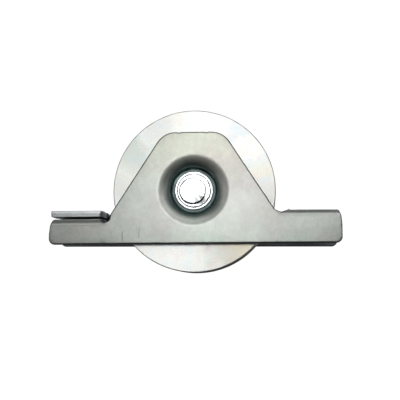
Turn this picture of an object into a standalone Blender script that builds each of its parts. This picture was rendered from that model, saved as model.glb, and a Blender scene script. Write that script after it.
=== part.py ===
"""Gate wheel: a grooved steel roller on a sealed ball bearing, riveted between two
identical stamped bracket halves.

Frame: the origin is the wheel's centre on the axle's axis. +X runs along the bracket,
+Y along the axle from the front half to the rear half, and +Z is up. Lengths are in
metres.
"""

from math import acos, asin, atan2, cos, pi, sin, sqrt, tan

import bmesh
import bpy
from mathutils import Matrix, Vector

# Clearance kept between pieces that touch on the real object.
GAP = 0.0003

# Wheel: a turned steel disc with a V groove in its tread.
WHEEL_RADIUS = 0.040
WHEEL_WIDTH = 0.020
GROOVE_DEPTH = 0.0080
GROOVE_HALF_WIDTH = 0.0080
GROOVE_ROOT_HALF_WIDTH = 0.0006
WHEEL_CHAMFER = 0.0005
SHOULDER_RADIUS = 0.0182
SNAP_GROOVE_DEPTH = 0.0012

# Ball bearing of the 6203 size: 17 x 40 x 12 mm with eight 17/64 inch balls.
BEARING_BORE_RADIUS = 0.0085
BEARING_OUTER_RADIUS = 0.0200
BEARING_WIDTH = 0.0120
BALL_COUNT = 8
BALL_RADIUS = 0.003374
PITCH_RADIUS = 0.01425
INNER_RING_RADIUS = 0.0122
OUTER_RING_INNER_RADIUS = 0.0164
RING_CHAMFER = 0.0006
SEAL_SEAT_RADIUS = 0.0173
SEAL_SEAT_DEPTH = 0.0013
SEAL_THICKNESS = 0.0007
CAGE_THICKNESS = 0.0006
CAGE_HALF_WIDTH = 0.00105
CAGE_WALL_ANGLE = pi / 3
CAGE_RIVET_RADIUS = 0.00045
CAGE_RIVET_HEAD_RADIUS = 0.0010
CAGE_RIVET_HEAD_HEIGHT = 0.0004

# Internal snap ring that holds the bearing in the wheel.
SNAP_RING_THICKNESS = 0.0016
SNAP_RING_BAND = 0.0026
SNAP_RING_OPENING = 0.20
SNAP_RING_LUG_ANGLE = 0.22
SNAP_RING_LUG_RADIUS = 0.0166
SNAP_RING_EYE_RADIUS = 0.0010

# Stamped bracket half, given by its outer surface; the sheet lies inside it.
SHEET = 0.0030
BRACKET_THICKNESS = 0.0300
HIGH_WING_LENGTH = 0.0715
LOW_WING_LENGTH = 0.0710
HIGH_WING_BOTTOM = -0.02605
LOW_WING_BOTTOM = -0.0265
PLATE_TOP = 0.0285
TOP_HALF_WIDTH = 0.01453
FLANK_SLOPE = 0.649
TOP_CORNER_RADIUS = 0.0110
END_CORNER_RADIUS = 0.0030
BEND_RADIUS = 0.0040
HIGH_FLANGE_TOP = -0.0093
FLANGE_GAP = 0.0014
FLANGE_REACH = 0.0240
FLANGE_START = 0.0454
FLANGE_OUTER_RADIUS = 0.0010
FLANGE_INNER_RADIUS = 0.0018
HIGH_BEND_LENGTH = 0.0713
LOW_BEND_LENGTH = 0.07065
WING_TAPER_TOP = 0.0010
WING_TAPER_BOTTOM = -0.0035
RELIEF_START = 0.0410
SLOT_ABOVE_BEND = 0.0025
SLOT_RADIUS = 0.0021
FOOT_ABOVE_BEND = 0.0016
FOOT_RADIUS = 0.0030
FLANGE_ROOT_ABOVE_BEND = 0.0050
FLANGE_ROOT_RADIUS = 0.0008

# Drawn dimple round the axle hole.
DIMPLE_DEPTH = 0.0057
DIMPLE_FLOOR_RADIUS = 0.0103
DIMPLE_FLOOR_FILLET = 0.0015
DIMPLE_LIP_FILLET = 0.0054
DIMPLE_WALL_ANGLE = 65 * pi / 180
AXLE_HOLE_RADIUS = 0.0064

# Axle: a shouldered pin whose ends are formed into heads.
AXLE_BODY_RADIUS = BEARING_BORE_RADIUS - GAP
AXLE_JOURNAL_RADIUS = AXLE_HOLE_RADIUS - GAP
HEAD_RADIUS = 0.0093
HEAD_BRIM_HEIGHT = 0.0008
HEAD_DOME_RADIUS = 0.0083
HEAD_RING_HEIGHT = 0.0019
HEAD_RING_CHAMFER = 0.0006
HEAD_BOSS_RADIUS = 0.0063
HEAD_BOSS_CHAMFER = 0.0008
HEAD_HEIGHT = 0.0026

# Facets round each turned shape.
WHEEL_STEPS = 48
RING_STEPS = 32
AXLE_STEPS = 24
DIMPLE_STEPS = 32
BALL_SEGMENTS = 12
BALL_RINGS = 8
CAGE_STEPS = BALL_COUNT * 10
CAGE_RIVET_STEPS = 8
FLANGE_BEND_STEPS = 4
CORNER_STEPS = 4
RELIEF_SLICES = 3
DIMPLE_FLOOR_STEPS = 2
DIMPLE_LIP_STEPS = 4
RACEWAY_STEPS = 3
SNAP_RING_STEPS = 36
SNAP_RING_LUG_STEPS = 3
SNAP_RING_EYE_STEPS = 10

# Colours: linear red, green and blue, then roughness and metallic.
ZINC_SHEET = ((0.52, 0.54, 0.51), 0.45, 1.0)
TURNED_ZINC = ((0.82, 0.84, 0.83), 0.30, 1.0)
BRIGHT_ZINC = ((0.86, 0.88, 0.88), 0.22, 1.0)
BEARING_STEEL = ((0.62, 0.62, 0.60), 0.15, 1.0)
CAGE_STEEL = ((0.55, 0.53, 0.48), 0.35, 1.0)
SPRING_STEEL = ((0.08, 0.08, 0.09), 0.40, 1.0)
SEAL_RUBBER = ((0.015, 0.015, 0.016), 0.60, 0.0)


def clear_scene():
    for obj in list(bpy.data.objects):
        bpy.data.objects.remove(obj, do_unlink=True)


def make_collection(name):
    collection = bpy.data.collections.new(name)
    bpy.context.scene.collection.children.link(collection)
    return collection


def make_material(name, look):
    colour, roughness, metallic = look
    material = bpy.data.materials.new(name)
    material.use_nodes = True
    shader = material.node_tree.nodes["Principled BSDF"]
    shader.inputs["Base Color"].default_value = (*colour, 1.0)
    shader.inputs["Roughness"].default_value = roughness
    shader.inputs["Metallic"].default_value = metallic
    return material


def make_object(name, mesh, look, collection):
    """An object of its own with its own material, shaded smooth except at sharp edges."""
    obj = bpy.data.objects.new(name, mesh)
    collection.objects.link(obj)
    if not mesh.materials:
        mesh.materials.append(make_material(name, look))
    mesh.shade_smooth()
    mesh.set_sharp_from_angle(angle=pi / 6)
    return obj


def polar(radius, angle):
    return Vector((radius * cos(angle), radius * sin(angle)))


def arc(centre, radius, start, end, steps):
    """Points along a circular arc, both ends included."""
    return [
        Vector(centre) + polar(radius, start + (end - start) * i / steps)
        for i in range(steps + 1)
    ]


def rounded(corners):
    """The closed outline through (x, y, radius) corners, each rounded by its radius."""
    points = []
    for index, (x, y, radius) in enumerate(corners):
        here = Vector((x, y))
        if radius == 0:
            points.append(here)
            continue
        before = (Vector(corners[index - 1][:2]) - here).normalized()
        after = (Vector(corners[(index + 1) % len(corners)][:2]) - here).normalized()
        half_angle = acos(max(-1.0, min(1.0, before.dot(after)))) / 2
        bisector = (before + after).normalized()
        centre = here + bisector * (radius / sin(half_angle))
        first = here + before * (radius / tan(half_angle)) - centre
        last = here + after * (radius / tan(half_angle)) - centre
        turn = atan2(first.cross(last), first.dot(last))
        start = atan2(first.y, first.x)
        points += arc(centre, radius, start, start + turn, CORNER_STEPS)
    return points


def add_spline(curve, points):
    spline = curve.splines.new("POLY")
    spline.points.add(len(points) - 1)
    for target, point in zip(spline.points, points):
        target.co = (point[0], point[1], 0.0, 1.0)
    spline.use_cyclic_u = True


def filled_outline(name, outlines, thickness=0.0):
    """A mesh in the XY plane, filled inside the first outline and open inside the rest."""
    curve = bpy.data.curves.new(name, "CURVE")
    curve.dimensions = "2D"
    curve.fill_mode = "BOTH"
    curve.extrude = thickness / 2
    for points in outlines:
        add_spline(curve, points)
    obj = bpy.data.objects.new(name, curve)
    bpy.context.scene.collection.objects.link(obj)
    graph = bpy.context.evaluated_depsgraph_get()
    mesh = bpy.data.meshes.new_from_object(obj.evaluated_get(graph))
    bpy.data.objects.remove(obj, do_unlink=True)
    mesh.name = name
    bm = bmesh.new()
    bm.from_mesh(mesh)
    bmesh.ops.remove_doubles(bm, verts=bm.verts, dist=1e-6)
    bm.to_mesh(mesh)
    bm.free()
    return mesh


def add_screw(obj, steps):
    screw = obj.modifiers.new("Screw", "SCREW")
    screw.axis = "Z"
    screw.angle = 2 * pi
    screw.steps = steps
    screw.render_steps = steps
    screw.use_merge_vertices = True
    screw.merge_threshold = 1e-6
    screw.use_smooth_shade = True
    return screw


def profile_mesh(name, profile, closed):
    """A chain of edges through (radius, height) points, in the XZ plane at +X."""
    count = len(profile)
    edges = [(i, (i + 1) % count) for i in range(count if closed else count - 1)]
    mesh = bpy.data.meshes.new(name)
    mesh.from_pydata([(radius, 0.0, height) for radius, height in profile], edges, [])
    return mesh


def turned(name, profile, look, collection, steps, closed=True):
    """A piece turned about the axle: radii, and places along +Y running high to low."""
    obj = make_object(name, profile_mesh(name, profile, closed), look, collection)
    obj.rotation_euler = (-pi / 2, 0.0, 0.0)
    add_screw(obj, steps)
    return obj


def mirrored(half):
    """A profile's half above the middle, continued by its mirror image below it."""
    return half + [(radius, -height) for radius, height in reversed(half)]


def raceway(radius_sign, edge_radius):
    """Half of a ball groove's profile, from the ring's shoulder to the groove's bottom."""
    groove = BALL_RADIUS + GAP
    start = asin(abs(edge_radius - PITCH_RADIUS) / groove)
    points = []
    for i in range(RACEWAY_STEPS + 1):
        angle = start + (pi / 2 - start) * i / RACEWAY_STEPS
        points.append(
            (PITCH_RADIUS + radius_sign * groove * sin(angle), groove * cos(angle))
        )
    return points


def make_wheel(collection):
    half = WHEEL_WIDTH / 2
    bore = BEARING_OUTER_RADIUS + GAP
    seat = BEARING_WIDTH / 2 + GAP
    snap_end = seat + SNAP_RING_THICKNESS + 2 * GAP
    root = WHEEL_RADIUS - GROOVE_DEPTH
    profile = [
        (WHEEL_RADIUS - WHEEL_CHAMFER, half),
        (WHEEL_RADIUS, half - WHEEL_CHAMFER),
        (WHEEL_RADIUS, GROOVE_HALF_WIDTH),
        (root, GROOVE_ROOT_HALF_WIDTH),
        (root, -GROOVE_ROOT_HALF_WIDTH),
        (WHEEL_RADIUS, -GROOVE_HALF_WIDTH),
        (WHEEL_RADIUS, -half + WHEEL_CHAMFER),
        (WHEEL_RADIUS - WHEEL_CHAMFER, -half),
        (SHOULDER_RADIUS + WHEEL_CHAMFER, -half),
        (SHOULDER_RADIUS, -half + WHEEL_CHAMFER),
        (SHOULDER_RADIUS, -seat),
        (bore, -seat),
        (bore, seat),
        (bore + SNAP_GROOVE_DEPTH, seat),
        (bore + SNAP_GROOVE_DEPTH, snap_end),
        (bore, snap_end),
        (bore, half - WHEEL_CHAMFER),
        (bore + WHEEL_CHAMFER, half),
    ]
    turned("wheel", profile, TURNED_ZINC, collection, WHEEL_STEPS)


def make_outer_ring(collection):
    half = BEARING_WIDTH / 2
    outside = [
        (BEARING_OUTER_RADIUS - RING_CHAMFER, half),
        (BEARING_OUTER_RADIUS, half - RING_CHAMFER),
    ]
    inside = [
        (SEAL_SEAT_RADIUS, half),
        (SEAL_SEAT_RADIUS, half - SEAL_SEAT_DEPTH),
        (OUTER_RING_INNER_RADIUS, half - SEAL_SEAT_DEPTH),
    ] + raceway(1, OUTER_RING_INNER_RADIUS)[:-1]
    bottom = [(PITCH_RADIUS + BALL_RADIUS + GAP, 0.0)]
    upwards = [(radius, -height) for radius, height in inside] + bottom
    profile = mirrored(outside) + upwards + list(reversed(inside))
    turned("bearing_outer_ring", profile, BEARING_STEEL, collection, RING_STEPS)


def make_inner_ring(collection):
    half = BEARING_WIDTH / 2
    outside = [(INNER_RING_RADIUS, half)] + raceway(-1, INNER_RING_RADIUS)[:-1]
    bottom = [(PITCH_RADIUS - BALL_RADIUS - GAP, 0.0)]
    downwards = outside + bottom + [(r, -h) for r, h in reversed(outside)]
    bore = [
        (BEARING_BORE_RADIUS + RING_CHAMFER, -half),
        (BEARING_BORE_RADIUS, -half + RING_CHAMFER),
        (BEARING_BORE_RADIUS, half - RING_CHAMFER),
        (BEARING_BORE_RADIUS + RING_CHAMFER, half),
    ]
    turned("bearing_inner_ring", downwards + bore, BEARING_STEEL, collection, RING_STEPS)


def make_seals(collection):
    """A ring that snaps into the outer ring and stops short of the inner ring."""
    inner_face = BEARING_WIDTH / 2 - SEAL_SEAT_DEPTH + GAP
    outer_face = inner_face + SEAL_THICKNESS
    edge = SEAL_SEAT_RADIUS - GAP
    lip = INNER_RING_RADIUS + GAP
    for name, side in (("bearing_seal_front", -1), ("bearing_seal_rear", 1)):
        profile = [
            (edge, outer_face),
            (edge, inner_face),
            (lip, inner_face),
            (lip, outer_face),
        ]
        obj = turned(name, profile, SEAL_RUBBER, collection, RING_STEPS)
        obj.rotation_euler = (-side * pi / 2, 0.0, 0.0)


def make_balls(collection):
    for index in range(BALL_COUNT):
        name = f"ball_{index + 1}"
        angle = 2 * pi * index / BALL_COUNT
        mesh = bpy.data.meshes.new(name)
        bm = bmesh.new()
        bmesh.ops.create_uvsphere(
            bm, u_segments=BALL_SEGMENTS, v_segments=BALL_RINGS, radius=BALL_RADIUS
        )
        bm.to_mesh(mesh)
        bm.free()
        obj = make_object(name, mesh, BEARING_STEEL, collection)
        obj.rotation_euler = (-pi / 2, 0.0, 0.0)
        obj.location = (PITCH_RADIUS * cos(angle), 0.0, PITCH_RADIUS * sin(angle))


def cage_height(angle):
    """Height of the cage's inner face over the balls' plane: flat, rising over each ball."""
    spacing = 2 * pi / BALL_COUNT
    offset = abs((angle + spacing / 2) % spacing - spacing / 2) * PITCH_RADIUS
    pocket = BALL_RADIUS + GAP
    flat = GAP / 2
    arc_end = pocket * sin(CAGE_WALL_ANGLE)
    if offset < arc_end:
        return sqrt(pocket**2 - offset**2)
    wall = pocket * cos(CAGE_WALL_ANGLE) - (offset - arc_end) * tan(CAGE_WALL_ANGLE)
    return max(flat, wall)


def make_cage_half(name, side, hole_cutter, collection):
    """A pressed ring of sheet that waves over the balls, made as an open surface."""
    line = profile_mesh(
        name,
        [
            (PITCH_RADIUS + CAGE_HALF_WIDTH, 0.0),
            (PITCH_RADIUS - CAGE_HALF_WIDTH, 0.0),
        ],
        closed=False,
    )
    helper = bpy.data.objects.new(name, line)
    bpy.context.scene.collection.objects.link(helper)
    add_screw(helper, CAGE_STEPS)
    graph = bpy.context.evaluated_depsgraph_get()
    mesh = bpy.data.meshes.new_from_object(helper.evaluated_get(graph))
    bpy.data.objects.remove(helper, do_unlink=True)
    bm = bmesh.new()
    bm.from_mesh(mesh)
    for vert in bm.verts:
        vert.co.z = cage_height(atan2(vert.co.y, vert.co.x))
    bmesh.ops.recalc_face_normals(bm, faces=bm.faces)
    if sum(face.normal.z for face in bm.faces) < 0:
        bmesh.ops.reverse_faces(bm, faces=bm.faces)
    bm.to_mesh(mesh)
    bm.free()
    obj = make_object(name, mesh, CAGE_STEEL, collection)
    obj.rotation_euler = (-side * pi / 2, 0.0, 0.0)
    add_solidify(obj, CAGE_THICKNESS, offset=1.0)
    holes = obj.modifiers.new("Rivet holes", "BOOLEAN")
    holes.operation = "DIFFERENCE"
    holes.object = hole_cutter


def rivet_places():
    """One place between each two balls, on the pitch circle, with its Z along +Y."""
    turn = Matrix.Rotation(-pi / 2, 4, "X")
    for index in range(BALL_COUNT):
        angle = 2 * pi * (index + 0.5) / BALL_COUNT
        centre = (PITCH_RADIUS * cos(angle), 0.0, PITCH_RADIUS * sin(angle))
        yield Matrix.Translation(centre) @ turn


def make_rivet_hole_cutter(collection):
    mesh = bpy.data.meshes.new("cage_rivet_holes")
    bm = bmesh.new()
    for place in rivet_places():
        bmesh.ops.create_cone(
            bm,
            cap_ends=True,
            segments=CAGE_RIVET_STEPS,
            radius1=CAGE_RIVET_RADIUS + GAP,
            radius2=CAGE_RIVET_RADIUS + GAP,
            depth=4 * CAGE_THICKNESS,
            matrix=place,
        )
    bm.to_mesh(mesh)
    bm.free()
    cutter = bpy.data.objects.new("cage_rivet_holes", mesh)
    cutter.hide_render = True
    cutter.display_type = "WIRE"
    collection.objects.link(cutter)
    return cutter


def make_cage_rivets(collection):
    """Each rivet passes through both halves of the cage and has a head at each end."""
    under_head = GAP / 2 + CAGE_THICKNESS + GAP
    half = [
        (0.0, under_head + CAGE_RIVET_HEAD_HEIGHT),
        (CAGE_RIVET_HEAD_RADIUS, under_head + CAGE_RIVET_HEAD_HEIGHT),
        (CAGE_RIVET_HEAD_RADIUS, under_head),
        (CAGE_RIVET_RADIUS, under_head),
    ]
    for index, place in enumerate(rivet_places()):
        name = f"cage_rivet_{index + 1}"
        mesh = profile_mesh(name, mirrored(half), closed=False)
        obj = make_object(name, mesh, CAGE_STEEL, collection)
        obj.matrix_world = place
        add_screw(obj, CAGE_RIVET_STEPS)


def make_snap_ring(collection):
    """A flat open ring with a lug and an eye at each end, its opening at the bottom."""
    outer = BEARING_OUTER_RADIUS + SNAP_GROOVE_DEPTH
    inner = outer - SNAP_RING_BAND
    bottom = -pi / 2
    start = bottom + SNAP_RING_OPENING
    end = bottom + 2 * pi - SNAP_RING_OPENING
    lug_start = start + SNAP_RING_LUG_ANGLE
    lug_end = end - SNAP_RING_LUG_ANGLE
    outline = arc((0, 0), outer, start, end, SNAP_RING_STEPS)
    outline += arc((0, 0), SNAP_RING_LUG_RADIUS, end, lug_end, SNAP_RING_LUG_STEPS)
    outline += arc((0, 0), inner, lug_end, lug_start, SNAP_RING_STEPS)
    outline += arc((0, 0), SNAP_RING_LUG_RADIUS, lug_start, start, SNAP_RING_LUG_STEPS)
    eyes = []
    for middle in ((start + lug_start) / 2, (end + lug_end) / 2):
        centre = polar((outer + SNAP_RING_LUG_RADIUS) / 2, middle)
        eyes.append(
            arc(centre, SNAP_RING_EYE_RADIUS, 0.0, 2 * pi, SNAP_RING_EYE_STEPS)[:-1]
        )
    mesh = filled_outline("snap_ring", [outline, *eyes], SNAP_RING_THICKNESS)
    obj = make_object("snap_ring", mesh, SPRING_STEEL, collection)
    obj.rotation_euler = (pi / 2, 0.0, 0.0)
    obj.location.y = BEARING_WIDTH / 2 + 2 * GAP + SNAP_RING_THICKNESS / 2


def make_axle(collection):
    floor = BRACKET_THICKNESS / 2 - DIMPLE_DEPTH
    body_end = BEARING_WIDTH / 2
    under_head = floor + GAP
    half = [
        (0.0, under_head + HEAD_HEIGHT),
        (HEAD_BOSS_RADIUS - HEAD_BOSS_CHAMFER, under_head + HEAD_HEIGHT),
        (HEAD_BOSS_RADIUS, under_head + HEAD_RING_HEIGHT),
        (HEAD_DOME_RADIUS - HEAD_RING_CHAMFER, under_head + HEAD_RING_HEIGHT),
        (HEAD_DOME_RADIUS, under_head + HEAD_BRIM_HEIGHT),
        (HEAD_RADIUS, under_head + HEAD_BRIM_HEIGHT),
        (HEAD_RADIUS, under_head),
        (AXLE_JOURNAL_RADIUS, under_head),
        (AXLE_JOURNAL_RADIUS, body_end),
        (AXLE_BODY_RADIUS, body_end),
    ]
    profile = mirrored(half)
    turned("axle_rivet", profile, BRIGHT_ZINC, collection, AXLE_STEPS, closed=False)


def dimple_profile():
    """(radius, depth) of the dimple's outer surface, from the hole to the flat plate."""
    angle = DIMPLE_WALL_ANGLE
    fillets = DIMPLE_FLOOR_FILLET + DIMPLE_LIP_FILLET
    wall_depth = DIMPLE_DEPTH - fillets * (1 - cos(angle))
    width = fillets * sin(angle) + wall_depth / tan(angle)
    lip = DIMPLE_FLOOR_RADIUS + width
    floor_centre = DIMPLE_DEPTH - DIMPLE_FLOOR_FILLET
    points = [(AXLE_HOLE_RADIUS, DIMPLE_DEPTH)]
    for i in range(DIMPLE_FLOOR_STEPS + 1):
        turn = angle * i / DIMPLE_FLOOR_STEPS
        points.append(
            (
                DIMPLE_FLOOR_RADIUS + DIMPLE_FLOOR_FILLET * sin(turn),
                floor_centre + DIMPLE_FLOOR_FILLET * cos(turn),
            )
        )
    for i in range(DIMPLE_LIP_STEPS + 1):
        turn = angle * (1 - i / DIMPLE_LIP_STEPS)
        points.append(
            (
                lip - DIMPLE_LIP_FILLET * sin(turn),
                DIMPLE_LIP_FILLET * (1 - cos(turn)),
            )
        )
    return points


def low_flange_top():
    return HIGH_FLANGE_TOP - SHEET - FLANGE_GAP


def wing_corners(side, flange_top, bottom, length, bend_length, relief_corners):
    """The blank's outline along one wing, from its lower corner up to the flank."""
    bend_start = flange_top - BEND_RADIUS
    bend_end = bend_start + BEND_RADIUS * pi / 2
    blank_top = bend_end - BEND_RADIUS + FLANGE_REACH
    corners = [
        (length, bottom, END_CORNER_RADIUS),
        (length, bend_start + WING_TAPER_BOTTOM, 0.0),
        (bend_length, bend_start + WING_TAPER_TOP, 0.0),
        (bend_length, bend_end, 0.0),
        (length, bend_end - WING_TAPER_BOTTOM, 0.0),
        (length, blank_top, FLANGE_OUTER_RADIUS),
        (FLANGE_START, blank_top, FLANGE_INNER_RADIUS),
    ]
    corners += relief_corners(bend_start)
    return [(side * x, z, radius) for x, z, radius in corners]


def flank_x(z):
    return TOP_HALF_WIDTH + FLANK_SLOPE * (PLATE_TOP - z)


def slanted_foot(bend_start):
    """On the high side the flange's end slants down to a fillet at the flank's foot."""
    foot = bend_start + FOOT_ABOVE_BEND
    return [
        (FLANGE_START, bend_start + FLANGE_ROOT_ABOVE_BEND, FLANGE_ROOT_RADIUS),
        (flank_x(foot), foot, FOOT_RADIUS),
    ]


def slot_foot(bend_start):
    """On the low side the flank ends at a slot with a round bottom."""
    slot = bend_start + SLOT_ABOVE_BEND
    turn_z = PLATE_TOP - (RELIEF_START - TOP_HALF_WIDTH) / FLANK_SLOPE
    return [
        (FLANGE_START, slot, SLOT_RADIUS),
        (RELIEF_START, slot, SLOT_RADIUS),
        (RELIEF_START, turn_z, 0.0),
    ]


def blank_outline():
    """The flat blank, anticlockwise as seen from the front, from the lower right."""
    high = wing_corners(
        1, HIGH_FLANGE_TOP, HIGH_WING_BOTTOM, HIGH_WING_LENGTH, HIGH_BEND_LENGTH, slanted_foot
    )
    low = wing_corners(
        -1, low_flange_top(), LOW_WING_BOTTOM, LOW_WING_LENGTH, LOW_BEND_LENGTH, slot_foot
    )
    top = [
        (TOP_HALF_WIDTH, PLATE_TOP, TOP_CORNER_RADIUS),
        (-TOP_HALF_WIDTH, PLATE_TOP, TOP_CORNER_RADIUS),
    ]
    return rounded(high + top + list(reversed(low)))


def cut_wing(bm, side, axis, place):
    """Cuts the wing beyond the relief, on one side, by a plane across an axis."""
    faces = [
        face
        for face in bm.faces
        if side * face.calc_center_median().x > RELIEF_START - 1e-5
    ]
    parts = {item for face in faces for item in (*face.verts, *face.edges)}
    bmesh.ops.bisect_plane(
        bm, geom=[*parts, *faces], dist=1e-7, plane_co=place, plane_no=axis
    )


def split_at(bm, x):
    bmesh.ops.bisect_plane(
        bm,
        geom=[*bm.verts, *bm.edges, *bm.faces],
        dist=1e-7,
        plane_co=(x, 0, 0),
        plane_no=(1, 0, 0),
    )


def folded(x, z, bend_start):
    """Where the fold takes a point of the wing's flat outer surface: (y, z)."""
    along = max(z - bend_start, 0.0)
    turn = min(along / BEND_RADIUS, pi / 2)
    straight = max(along - BEND_RADIUS * pi / 2, 0.0)
    y = BEND_RADIUS * (1 - cos(turn)) + straight
    drop = along - BEND_RADIUS * sin(turn)
    share = min((abs(x) - RELIEF_START) / (FLANGE_START - RELIEF_START), 1.0)
    share = share * share * (3 - 2 * share)
    return share * y, z - share * drop


def fold_wing(bm, side, flange_top):
    bend_start = flange_top - BEND_RADIUS
    for i in range(FLANGE_BEND_STEPS + 1):
        z = bend_start + BEND_RADIUS * (pi / 2) * i / FLANGE_BEND_STEPS
        cut_wing(bm, side, (0, 0, 1), (0, 0, z))
    for vert in bm.verts:
        if side * vert.co.x > RELIEF_START:
            vert.co.y, vert.co.z = folded(vert.co.x, vert.co.z, bend_start)


def add_solidify(obj, thickness, offset):
    solidify = obj.modifiers.new("Solidify", "SOLIDIFY")
    solidify.thickness = thickness
    solidify.offset = offset
    solidify.use_even_offset = True
    solidify.use_quality_normals = True


def dimple_surface():
    """The dimple as an open turned surface in the XY plane, its depth along -Z."""
    profile = [(radius, -depth) for radius, depth in dimple_profile()]
    helper = bpy.data.objects.new("dimple", profile_mesh("dimple", profile, closed=False))
    bpy.context.scene.collection.objects.link(helper)
    add_screw(helper, DIMPLE_STEPS)
    graph = bpy.context.evaluated_depsgraph_get()
    mesh = bpy.data.meshes.new_from_object(helper.evaluated_get(graph))
    bpy.data.objects.remove(helper, do_unlink=True)
    return mesh


def bracket_surface():
    """The stamped half's outer surface: the blank with its dimple, both wings folded."""
    lip = dimple_profile()[-1][0]
    opening = arc((0, 0), lip, 0.0, 2 * pi, DIMPLE_STEPS)[:-1]
    mesh = filled_outline("bracket_half", [blank_outline(), opening])
    bm = bmesh.new()
    bm.from_mesh(mesh)
    bm.from_mesh(dimple_surface())
    bmesh.ops.remove_doubles(bm, verts=bm.verts, dist=1e-5)
    # The blank was drawn in XY. It stands up in XZ, and its depth runs along +Y.
    bmesh.ops.transform(bm, matrix=Matrix.Rotation(pi / 2, 4, "X"), verts=bm.verts)
    for side in (-1, 1):
        for i in range(RELIEF_SLICES + 1):
            share = i / RELIEF_SLICES
            split_at(bm, side * (RELIEF_START + share * (FLANGE_START - RELIEF_START)))
    fold_wing(bm, 1, HIGH_FLANGE_TOP)
    fold_wing(bm, -1, low_flange_top())
    bmesh.ops.recalc_face_normals(bm, faces=bm.faces)
    largest = max(bm.faces, key=lambda face: face.calc_area())
    if largest.normal.y > 0:
        bmesh.ops.reverse_faces(bm, faces=bm.faces)
    bmesh.ops.translate(bm, vec=(0, -BRACKET_THICKNESS / 2, 0), verts=bm.verts)
    bm.to_mesh(mesh)
    bm.free()
    return mesh


def make_bracket(collection):
    """Two copies of one stamping, face to face: the rear one is turned about Z."""
    for name, turn in (("bracket_front_half", 0.0), ("bracket_rear_half", pi)):
        obj = make_object(name, bracket_surface(), ZINC_SHEET, collection)
        obj.rotation_euler = (0.0, 0.0, turn)
        add_solidify(obj, SHEET, offset=-1.0)


def main():
    clear_scene()
    collection = make_collection("gate_wheel")
    cutters = make_collection("cutters")
    make_bracket(collection)
    make_axle(collection)
    make_wheel(collection)
    make_outer_ring(collection)
    make_inner_ring(collection)
    make_seals(collection)
    make_snap_ring(collection)
    make_balls(collection)
    hole_cutter = make_rivet_hole_cutter(cutters)
    make_cage_half("cage_front_half", -1, hole_cutter, collection)
    make_cage_half("cage_rear_half", 1, hole_cutter, collection)
    make_cage_rivets(collection)


main()
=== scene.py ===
"""The looks of the gate wheel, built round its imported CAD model.

Frame: the origin is the wheel's centre on the axle, +X runs along the bracket, +Y along
the axle from the front half to the rear half, and +Z is up. Lengths are in metres.
"""

from collections import namedtuple
from math import acos, asin, atan2, cos, pi, radians, sin, sqrt, tan

import bmesh
import bpy
from mathutils import Matrix, Vector, noise


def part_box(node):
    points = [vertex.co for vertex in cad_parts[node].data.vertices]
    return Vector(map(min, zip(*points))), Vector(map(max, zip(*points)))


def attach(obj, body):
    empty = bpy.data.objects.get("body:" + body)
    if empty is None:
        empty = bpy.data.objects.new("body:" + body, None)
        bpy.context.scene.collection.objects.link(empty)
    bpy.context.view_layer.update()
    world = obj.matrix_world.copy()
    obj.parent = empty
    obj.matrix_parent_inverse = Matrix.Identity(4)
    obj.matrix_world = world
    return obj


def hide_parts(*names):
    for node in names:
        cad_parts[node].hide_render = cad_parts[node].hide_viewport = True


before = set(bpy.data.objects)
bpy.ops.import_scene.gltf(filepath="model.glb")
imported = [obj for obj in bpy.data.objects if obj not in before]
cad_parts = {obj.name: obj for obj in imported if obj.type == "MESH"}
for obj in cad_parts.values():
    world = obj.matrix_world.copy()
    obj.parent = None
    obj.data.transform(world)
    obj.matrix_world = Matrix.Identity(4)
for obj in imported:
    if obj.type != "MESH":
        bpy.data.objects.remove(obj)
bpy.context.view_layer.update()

# Overall sizes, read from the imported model.
BRACKET_LOW, BRACKET_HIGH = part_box("bracket_front_half")
FRONT_FACE = BRACKET_LOW.y
PLATE_TOP = BRACKET_HIGH.z
WHEEL_RADIUS, WHEEL_HALF_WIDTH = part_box("wheel")[1].zy
HEAD_RADIUS, HEAD_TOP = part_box("axle_rivet")[1].zy
BEARING_RADIUS, BEARING_HALF_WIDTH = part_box("bearing_outer_ring")[1].zy
SEAL_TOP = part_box("bearing_seal_rear")[1].y
SNAP_LOW, SNAP_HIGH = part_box("snap_ring")
CLEARANCE = 0.0003

# What comes in twice: the end's name and its side along Y.
ENDS = (("front", -1), ("rear", 1))

# The stamped half, in its flat blank and its folds.
SHEET = 0.0030
TOP_HALF_WIDTH = 0.01453
FLANK_SLOPE = 0.649
TOP_CORNER_RADIUS = 0.0110
END_CORNER_RADIUS = 0.0030
BEND_RADIUS = 0.0040
BEND_LENGTH = BEND_RADIUS * pi / 2
FLANGE_REACH = 0.0240
FLANGE_START = 0.0454
FLANGE_OUTER_RADIUS = 0.0010
FLANGE_INNER_RADIUS = 0.0018
WING_TAPER_TOP = 0.0010
WING_TAPER_BOTTOM = 0.0035
WING_TAPER_BACK = 0.0100
RELIEF_START = 0.0410
SLOT_ABOVE_BEND = 0.0025
SLOT_RADIUS = 0.0021
FOOT_ABOVE_BEND = 0.0016
FOOT_RADIUS = 0.0030
FLANGE_ROOT_ABOVE_BEND = 0.0050
FLANGE_ROOT_RADIUS = 0.0008
DIMPLE_DEPTH = 0.0057
DIMPLE_FLOOR_RADIUS = 0.0103
DIMPLE_FLOOR_FILLET = 0.0008
DIMPLE_LIP_RADIUS = 0.0100
DIMPLE_LIP_TURN = radians(30)
DIMPLE_SHOULDER_RADIUS = 0.0036
DIMPLE_WALL_ANGLE = radians(75)
AXLE_HOLE_RADIUS = 0.0064

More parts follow.
